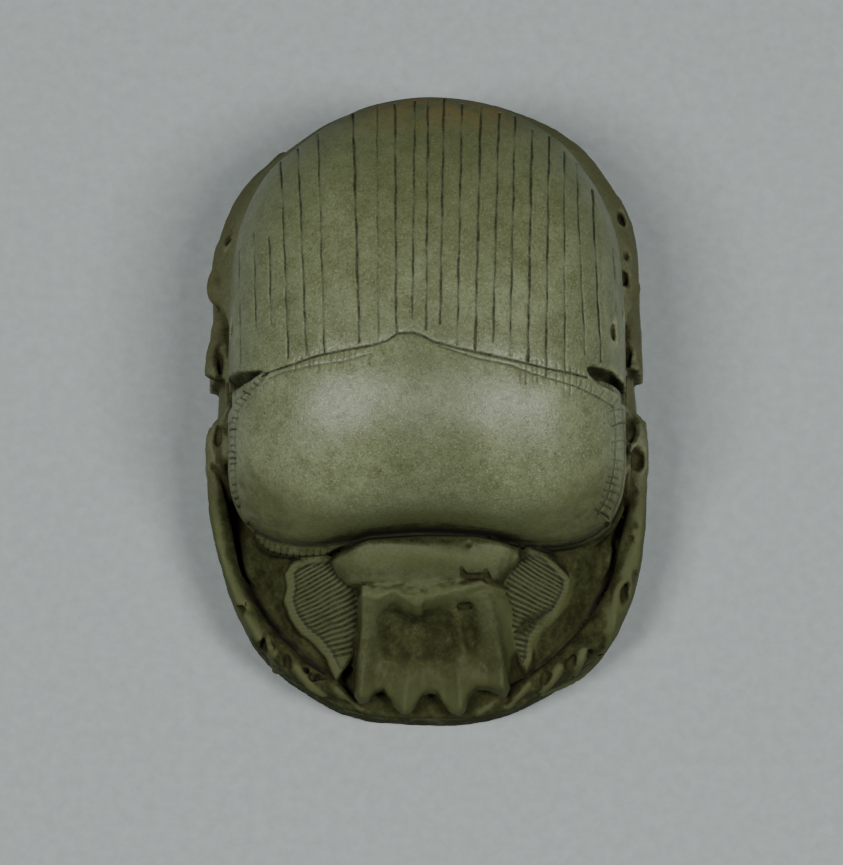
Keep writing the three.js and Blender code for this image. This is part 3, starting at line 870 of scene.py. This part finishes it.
def wanted_step(points):
    """How close the points should stand, by what is carved there."""
    x, y, z = points.T
    step = np.full(len(points), 0.6)
    low = z < WING_EDGE + 1.0
    step[low & (z > 1.0)] = 0.3
    step[(y < -13.0) & (np.abs(x) < 15.0) & (z > 3.0)] = 0.19
    step[engraving(x, y, z, widen=0.14) > 0.01] = 0.11
    return step * 1.0


def split_long(points, triangles):
    """Splits every triangle edge that is longer than wanted, once."""
    count = len(points)
    pairs = np.sort(triangles[:, [[0, 1], [1, 2], [2, 0]]], axis=2).reshape(-1, 2)
    keys, back = np.unique(pairs[:, 0] * count + pairs[:, 1], return_inverse=True)
    first, second = points[keys // count], points[keys % count]
    middle = (first + second) / 2
    long = np.linalg.norm(first - second, axis=1) > 1.35 * wanted_step(middle)
    number = np.where(long, count + np.cumsum(long) - 1, -1)
    cut = number[back.ravel()].reshape(-1, 3)
    kinds = (cut >= 0).sum(axis=1)
    done = [triangles[kinds == 0]]
    for kind in (1, 2):
        some = triangles[kinds == kind]
        marks = cut[kinds == kind]
        lead = np.argmax(marks >= 0, axis=1) if kind == 1 else (np.argmin(marks >= 0, axis=1) + 1) % 3
        order = (lead[:, None] + np.arange(3)) % 3
        a, b, c = np.take_along_axis(some, order, axis=1).T
        m, n, _ = np.take_along_axis(marks, order, axis=1).T
        if kind == 1:
            done += [np.stack([a, m, c], axis=1), np.stack([m, b, c], axis=1)]
        else:
            done += [np.stack([m, b, n], axis=1), np.stack([a, m, n], axis=1), np.stack([a, n, c], axis=1)]
    a, b, c = triangles[kinds == 3].T
    m, n, o = cut[kinds == 3].T
    done += [np.stack(row, axis=1) for row in ((a, m, o), (m, b, n), (o, n, c), (m, n, o))]
    return np.vstack([points, middle[long]]), np.vstack(done), long.sum()


points, triangles = rough_mesh(ROUGH_STEP)
points = settle(points, 3)
for _ in range(3):
    kept = len(points)
    points, triangles, added = split_long(points, triangles)
    points[kept:] = settle(points[kept:], 2, 0.15)
    if added < 500:
        break


def stone_mesh(name, points, triangles):
    mesh = bpy.data.meshes.new(name)
    mesh.vertices.add(len(points))
    mesh.vertices.foreach_set("co", (points * MM).astype(np.float32).ravel())
    mesh.loops.add(3 * len(triangles))
    mesh.loops.foreach_set("vertex_index", triangles.astype(np.int32).ravel())
    mesh.polygons.add(len(triangles))
    mesh.polygons.foreach_set("loop_start", np.arange(0, 3 * len(triangles), 3, dtype=np.int32))
    mesh.update(calc_edges=True)
    mesh.validate()
    return mesh


def thinned(mesh, most):
    """The same surface with flat places drawn in fewer triangles."""
    piece = bpy.data.objects.new("worked_stone", mesh)
    bpy.context.scene.collection.objects.link(piece)
    thin = piece.modifiers.new("thin", "DECIMATE")
    thin.ratio = min(1.0, most / len(mesh.polygons))
    shown = piece.evaluated_get(bpy.context.evaluated_depsgraph_get())
    result = bpy.data.meshes.new_from_object(shown)
    bpy.data.objects.remove(piece)
    return result


def store(mesh, name, values):
    layer = mesh.attributes.new(name, "FLOAT", "POINT")
    layer.data.foreach_set("value", values.astype(np.float32))


def outward(points, reach=0.05):
    """The direction out of the stone at each point."""
    way = np.zeros_like(points)
    for axis in range(3):
        shift = np.zeros(3)
        shift[axis] = reach
        way[:, axis] = stone(*(points + shift).T) - stone(*(points - shift).T)
    return way / np.maximum(np.linalg.norm(way, axis=1, keepdims=True), 1e-9)


def hidden_sky(mesh, points, way, reach=7.0, rays=18):
    """How much of the open space over each point is closed off by stone within a reach in mm."""
    corners = np.empty(3 * len(mesh.polygons), dtype=np.int32)
    mesh.loops.foreach_get("vertex_index", corners)
    corners = corners.reshape(-1, 3)
    tree = BVHTree.FromPolygons(points.tolist(), corners.tolist(), all_triangles=True)
    number = np.arange(rays) + 0.5
    rise = 1.0 - 2.0 * number / rays
    turn = number * math.pi * (3.0 - math.sqrt(5.0))
    level = np.sqrt(1.0 - rise * rise)
    ball = np.stack([level * np.cos(turn), level * np.sin(turn), rise], axis=1)
    hidden = np.zeros(len(points))
    starts = (points + 0.08 * way).tolist()
    for spot in ball:
        for i, (start, ray) in enumerate(zip(starts, (way + 0.98 * spot).tolist())):
            distance = tree.ray_cast(start, ray, reach)[3]
            if distance is not None:
                hidden[i] += 1.0 - 0.6 * distance / reach
    hidden /= rays
    for _ in range(2):
        total = np.zeros(len(points))
        count = np.zeros(len(points))
        for a, b in ((0, 1), (1, 2), (2, 0)):
            np.add.at(total, corners[:, a], hidden[corners[:, b]])
            np.add.at(count, corners[:, a], 1.0)
        hidden = 0.5 * hidden + 0.5 * total / np.maximum(count, 1.0)
    return hidden


def dirt_and_shade_kept(points, hidden):
    """Where dirt and painted shade lie: painted shade in closed-in places, dirt on the ground round the head
    and in the shield's dish.
    """
    x, y, z = points.T
    inward = -plinth_gap(x, y) + 3.0 * ease(-y, 17.5, 22.0)
    floor = ease(inward, 2.3, 3.4) * ease(-y, 9.0, 13.0) * (0.65 + 0.35 * ease(8.6 - z, 0.0, 0.9))
    raised = np.minimum(np.minimum(head(x, y, z), back_gap(x, y, z)), ridges(x, y, z))
    floor = floor * ease(raised, 0.03, 0.3)
    shield_edge = outline_gap(x, y, SHIELD)
    hollow, behind = shield_hollow(x, y, shield_edge)
    face = 0.45 * ease(0.9 - shield_edge, 0.0, 0.6) * ease(-behind, 0.3, 0.9)
    face = face * ease(y, -27.6, -25.2) * (z < 11.0)
    dish = np.maximum(face, 0.95 * ease(hollow, 0.3, 1.3) * (z < 11.5))
    brow_front = 0.45 * hump(y + 16.9, 0.8) * (z > 10.0) * (np.abs(x) < 8.0)
    # The hidden sky adds painted shade wherever stone closes in.
    return np.maximum(np.maximum(np.maximum(floor, dish), brow_front), ease(hidden, 0.05, 0.3))


def mark_wear_and_shade(mesh):
    """Keeps on each point how sunk, sheltered, exposed and deeply lined the stone is there."""
    flat = np.empty(3 * len(mesh.vertices), dtype=np.float32)
    mesh.vertices.foreach_get("co", flat)
    points = flat.reshape(-1, 3).astype(float) / MM
    way = outward(points)
    here = stone(*points.T)

    def closed_in(reaches):
        """How much of the way out from the surface is closed in by stone."""
        total = 0.0
        for reach in reaches:
            total = total + np.clip(1.0 - (stone(*(points + reach * way).T) - here) / reach, 0.0, 1.0)
        return total / len(reaches)

    # Sunk darkens hollows as painted shade; sheltered darkens closed-in places as painted shade and the
    # head's ground and dish as dirt.
    store(mesh, "sunk", closed_in((0.4, 0.8, 1.4)))
    store(mesh, "sheltered", dirt_and_shade_kept(points, hidden_sky(mesh, points, way)))
    depth = 0.35
    exposed = np.clip(1.0 + (stone(*(points - depth * way).T) - here) / depth, 0.0, 1.0)
    store(mesh, "exposed", exposed)
    store(mesh, "lined", np.clip(engraving(*points.T) / LINE_DEPTH, 0.0, 1.0))


mesh = thinned(stone_mesh("carved_stone", points, triangles), MOST_TRIANGLES)
mark_wear_and_shade(mesh)
mesh.name = "scarab_stone"
mesh.shade_smooth()
piece = bpy.data.objects.new("scarab_stone", mesh)
bpy.context.scene.collection.objects.link(piece)
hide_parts("scarab")
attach(piece, "root")


def srgb(code):
    """A hex colour as the linear values that shaders take."""
    parts = [int(code[i : i + 2], 16) / 255 for i in (1, 3, 5)]
    linear = [c / 12.92 if c <= 0.04045 else ((c + 0.055) / 1.055) ** 2.4 for c in parts]
    return (*linear, 1.0)


def new_material(name):
    """A fresh material with its tree and its shader."""
    material = bpy.data.materials.new(name)
    material.use_nodes = True
    return material, material.node_tree, material.node_tree.nodes["Principled BSDF"]


def add(tree, kind, inputs, **settings):
    """Adds one node with its settings, and gives each input its value or links it to an output."""
    made = tree.nodes.new(kind)
    for name, value in settings.items():
        setattr(made, name, value)
    for socket, source in inputs.items():
        if isinstance(source, bpy.types.NodeSocket):
            tree.links.new(source, made.inputs[socket])
        else:
            made.inputs[socket].default_value = source
    return made


# Patterns in the stone and in the dirt on it: the size in mm, detail, roughness and seed of each.
PATTERNS = {
    "cloud": (5.0, 4.0, 0.6, 1.0),
    "mottle": (1.4, 6.0, 0.7, 2.0),
    "fleck": (0.26, 4.0, 0.75, 3.0),
    "speckle": (0.2, 3.0, 0.7, 4.0),
    "stain": (2.0, 5.0, 0.65, 5.0),
    "rub": (0.9, 3.0, 0.6, 6.0),
    "smear": (1.1, 5.0, 0.7, 7.0),
    "smudge": (2.2, 4.0, 0.6, 8.0),
    "crack": (0.7, 5.0, 0.75, 9.0),
    "handling": (0.5, 4.0, 0.7, 10.0),
    "tooling": (0.35, 5.0, 0.7, 11.0),
    "clod": (1.8, 6.0, 0.75, 12.0),
    "crumb": (0.5, 4.0, 0.7, 13.0),
}
# Where things show: what each is read from, where it starts and is whole, and its least and most if not
# 0 and 1. Places across, along and up are in metres.
SHOWN = {
    "clouded": ("cloud", 0.35, 0.65),
    "mottled": ("mottle", 0.42, 0.66),
    "flecked": ("fleck", 0.5, 0.66),
    "speckled": ("speckle", 0.52, 0.74),
    "rear": ("along", 0.0, 0.02),
    "from left": ("across", -0.008, -0.003),
    "from right": ("across", 0.010, 0.005),
    "close from left": ("across", -0.0055, -0.001),
    "close from right": ("across", 0.0065, 0.002),
    "front half": ("along", 0.006, 0.0),
    "stained": ("stain", 0.4, 0.6),
    "rear edge": ("along", 0.0215, 0.0245),
    "rear rim": ("along", 0.019, 0.025),
    "exposed edge": ("exposed", 0.12, 0.6),
    "rubbed": ("rub", 0.35, 0.6),
    "head": ("along", -0.012, -0.0155),
    "below brow": ("up", 0.0118, 0.0095),
    "smudged": ("smudge", 0.3, 0.6),
    "below wing edge": ("up", 0.0095, 0.0075),
    "above foot": ("up", 0.001, 0.004),
    "front of thorax": ("along", -0.006, -0.0105),
    "foot of thorax": ("up", 0.0178, 0.0150),
    "sunk a little": ("sunk", 0.18, 0.55),
    "sunk deep": ("sunk", 0.55, 0.9),
    "smeared": ("smear", 0.3, 0.62),
    "clods": ("clod", 0.36, 0.56, 0.35, 1.0),
    "crumbs": ("crumb", 0.3, 0.5, 0.6, 1.0),
    "cut line": ("lined", 0.25, 0.65),
    "filling left": ("crack", 0.34, 0.56, 0.45, 1.0),
    "uneven polish": ("handling", 0.3, 0.7, -0.06, 0.1),
}
BARE_STONE = "#52583f"
# What lies on the bare stone, in order: its name, what it is the product of, and its colour if it has one.
LAYERS = [
    # Olive green stone, clouded with greyer and darker green.
    ("clouds", ["clouded"], "#61674d"),
    ("dark mottle", ["mottled", 0.6], "#3e4325"),
    ("dark flecks", ["flecked", 0.6], "#2b2e18"),
    ("pale specks", ["speckled", 0.4], "#969a78"),
    # Painted shade, brownish: darker towards the rear, where the back turns away from the lamps, and down the
    # middle between the two lamps' highlights; and a real brown stain along the rear edge.
    ("middle", ["from left", "from right"], None),
    ("rear shade", ["rear", 0.45], "#3b4022"),
    ("rear middle shade", ["rear", "middle", 0.3], "#30351b"),
    ("front middle shade", ["close from left", "close from right", "front half", 0.3], "#30351f"),
    ("brown stain", ["stained", "middle", "rear edge", 0.7], "#5c4c26"),
    # Rubbed edges are paler.
    ("worn edges", ["exposed edge", "rubbed", 0.55], "#90946c"),
    # Old dirt, brown in the head's hollows and on the ground round it, with painted shade wherever stone
    # closes in over the surface, nearly black where the hollows are deepest; darker and browner down the
    # flanks below the wing cases' edge.
    ("low", ["below wing edge", "above foot"], None),
    ("film and shade", ["sunk a little", "smeared"], None),
    ("shelter", ["sheltered", "clods", "crumbs"], None),
    ("brown face", ["head", "below brow", "smudged", 0.45], "#34351d"),
    ("brown flanks", ["low", 0.6], "#3a3820"),
    # Painted shade on the thorax's front slope, which faces away from the lamps, with some dirt.
    ("dark slope", ["front of thorax", "foot of thorax", 0.75], "#33381b"),
    # Packed dirt on the head's ground and dish, and painted shade in closed-in places.
    ("packed dirt and shade", ["shelter", 0.97], "#191a0b"),
    # A thin film: smeared dirt, and painted shade in shallow hollows.
    ("thin dirt and shade", ["film and shade", 0.8], "#282614"),
    # Painted shade, nearly black, in the deepest hollows, with dirt.
    ("black hollow shade and dirt", ["sunk deep", 0.85], "#141310"),
    # Dark filling in the cut lines, broken where it has fallen out.
    ("filling", ["cut line", "filling left"], None),
    ("dark lines", ["filling", 0.92], "#1a1a12"),
]
# What takes the polish off, and how strongly.
DULLED = [("film and shade", 1.0), ("filling", 0.8), ("shelter", 2.0), ("head", 0.6), ("low", 0.6), ("rear rim", 0.7)]
# Roughness and gloss of the polished stone, and of the dirt.
ROUGHNESS = (0.34, 0.85)
GLOSS = (0.3, 0.08)
TOOLING_HEIGHT = 0.08
CRUST_HEIGHT = 0.8
FIBRES_PER_METRE = 900.0


def green_stone():
    """Dark green stone, carved and rubbed: worn edges pale, cut lines filled with old dirt, hollows dark with
    old dirt and painted shade, and painted shade towards the rear and down the middle of the back.
    """
    material, tree, shader = new_material("green_stone")
    place = add(tree, "ShaderNodeTexCoord", {}).outputs["Object"]
    split = add(tree, "ShaderNodeSeparateXYZ", {"Vector": place}).outputs
    found = {"across": split["X"], "along": split["Y"], "up": split["Z"]}
    for mark in ("sunk", "sheltered", "exposed", "lined"):
        found[mark] = add(tree, "ShaderNodeAttribute", {}, attribute_name=mark).outputs["Fac"]
    for name, (size_mm, detail, roughness, seed) in PATTERNS.items():
        inputs = {"Vector": place, "Scale": 1.0 / (size_mm * MM), "Detail": detail, "Roughness": roughness}
        inputs["W"] = seed
        found[name] = add(tree, "ShaderNodeTexNoise", inputs, noise_dimensions="4D").outputs[0]
    for name, (source, start, whole, *ends) in SHOWN.items():
        inputs = {"Value": found[source], "From Min": start, "From Max": whole}
        inputs["To Min"], inputs["To Max"] = ends or (0.0, 1.0)
        found[name] = add(tree, "ShaderNodeMapRange", inputs).outputs[0]

    colour = srgb(BARE_STONE)
    for name, (first, *others), laid_colour in LAYERS:
        amount = found[first]
        for other in others:
            inputs = {0: amount, 1: found.get(other, other)}
            amount = add(tree, "ShaderNodeMath", inputs, operation="MULTIPLY", use_clamp=True).outputs[0]
        found[name] = amount
        if laid_colour:
            inputs = {0: amount, 6: colour, 7: srgb(laid_colour)}
            colour = add(tree, "ShaderNodeMix", inputs, data_type="RGBA").outputs[2]
    tree.links.new(colour, shader.inputs["Base Color"])

    # A soft polish on the rubbed stone, none in the dirt.
    dull = 0.0
    for name, strength in DULLED:
        inputs = {0: found[name], 1: strength}
        share = add(tree, "ShaderNodeMath", inputs, operation="MULTIPLY", use_clamp=True).outputs[0]
        dull = add(tree, "ShaderNodeMath", {0: dull, 1: share}, operation="MAXIMUM").outputs[0]
    for socket, (polished, dirty) in (("Roughness", ROUGHNESS), ("Specular IOR Level", GLOSS)):
        inputs = {"Value": dull, "To Min": polished, "To Max": dirty}
        finish = add(tree, "ShaderNodeMapRange", inputs).outputs[0]
        if socket == "Roughness":
            inputs = {0: finish, 1: found["uneven polish"]}
            finish = add(tree, "ShaderNodeMath", inputs, operation="ADD", use_clamp=True).outputs[0]
        tree.links.new(finish, shader.inputs[socket])

    # Fine tooling and the crust of dirt, which the hand would feel.
    inputs = {0: found["film and shade"], 1: CRUST_HEIGHT}
    crust = add(tree, "ShaderNodeMath", inputs, operation="MULTIPLY", use_clamp=True).outputs[0]
    inputs = {0: found["tooling"], 1: crust}
    height = add(tree, "ShaderNodeMath", inputs, operation="ADD", use_clamp=True).outputs[0]
    bump = add(tree, "ShaderNodeBump", {"Strength": 0.6, "Distance": TOOLING_HEIGHT * MM, "Height": height})
    tree.links.new(bump.outputs["Normal"], shader.inputs["Normal"])
    return material


def pale_floor():
    """Matt grey paper with a faint fibre grain."""
    material, tree, shader = new_material("pale_floor")
    place = add(tree, "ShaderNodeTexCoord", {}).outputs["Object"]
    inputs = {"Vector": place, "Scale": FIBRES_PER_METRE, "Detail": 5.0, "Roughness": 0.65}
    fibre = add(tree, "ShaderNodeTexNoise", inputs).outputs[0]
    inputs = {0: fibre, 6: srgb("#727877"), 7: srgb("#8a9190")}
    paper = add(tree, "ShaderNodeMix", inputs, data_type="RGBA").outputs[2]
    tree.links.new(paper, shader.inputs["Base Color"])
    shader.inputs["Roughness"].default_value = 0.95
    return material


mesh.materials.append(green_stone())

floor_mesh = bpy.data.meshes.new("floor")
floor_mesh.from_pydata([(-1, -1, 0), (1, -1, 0), (1, 1, 0), (-1, 1, 0)], [], [(0, 1, 2, 3)])
floor = bpy.data.objects.new("floor", floor_mesh)
bpy.context.scene.collection.objects.link(floor)
floor_mesh.materials.append(pale_floor())


def softbox(name, place, size, power):
    """A rectangular light, in metres and watts, turned to the amulet."""
    light = bpy.data.lights.new(name, "AREA")
    light.shape = "RECTANGLE"
    light.size = size[0]
    light.size_y = size[1]
    light.energy = power
    lamp = bpy.data.objects.new(name, light)
    lamp.location = place
    lamp.rotation_euler = Vector(place).to_track_quat("Z", "Y").to_euler()
    bpy.context.scene.collection.objects.link(lamp)
    return lamp


# Two soft lights, one over each side of the thorax, and a dim pale room round them.
SOFTBOX_SIZE = (0.22, 0.36)
ROOM_LIGHT = 0.24
softbox("left_softbox", (-0.42, -0.16, 0.72), SOFTBOX_SIZE, 7.2)
softbox("right_softbox", (0.43, -0.16, 0.72), SOFTBOX_SIZE, 7.8)
world = bpy.data.worlds.new("studio")
bpy.context.scene.world = world
world.use_nodes = True
world.node_tree.nodes["Background"].inputs["Color"].default_value = srgb("#c9cccc")
world.node_tree.nodes["Background"].inputs["Strength"].default_value = ROOM_LIGHT

lens = bpy.data.cameras.new("camera")
camera = bpy.data.objects.new("camera", lens)
bpy.context.scene.collection.objects.link(camera)
lens.sensor_fit = "VERTICAL"
lens.sensor_height = SENSOR_HEIGHT
lens.lens = FOCAL_PIXELS * SENSOR_HEIGHT / PHOTO_HEIGHT
lens.clip_start = 0.01
lens.clip_end = 10.0
turn = np.stack([CAMERA_RIGHT, CAMERA_UP, CAMERA_BACK], axis=1)
middle = np.array([(PHOTO_WIDTH / 2 - AIM_PIXEL[0]), (AIM_PIXEL[1] - PHOTO_HEIGHT / 2)]) / PIXELS_PER_MM
shifted = CAMERA_PLACE + CAMERA_RIGHT * middle[0] + CAMERA_UP * middle[1]
camera.matrix_world = Matrix.LocRotScale(Vector(shifted * MM), Matrix(turn.tolist()).to_quaternion(), None)
bpy.context.scene.camera = camera
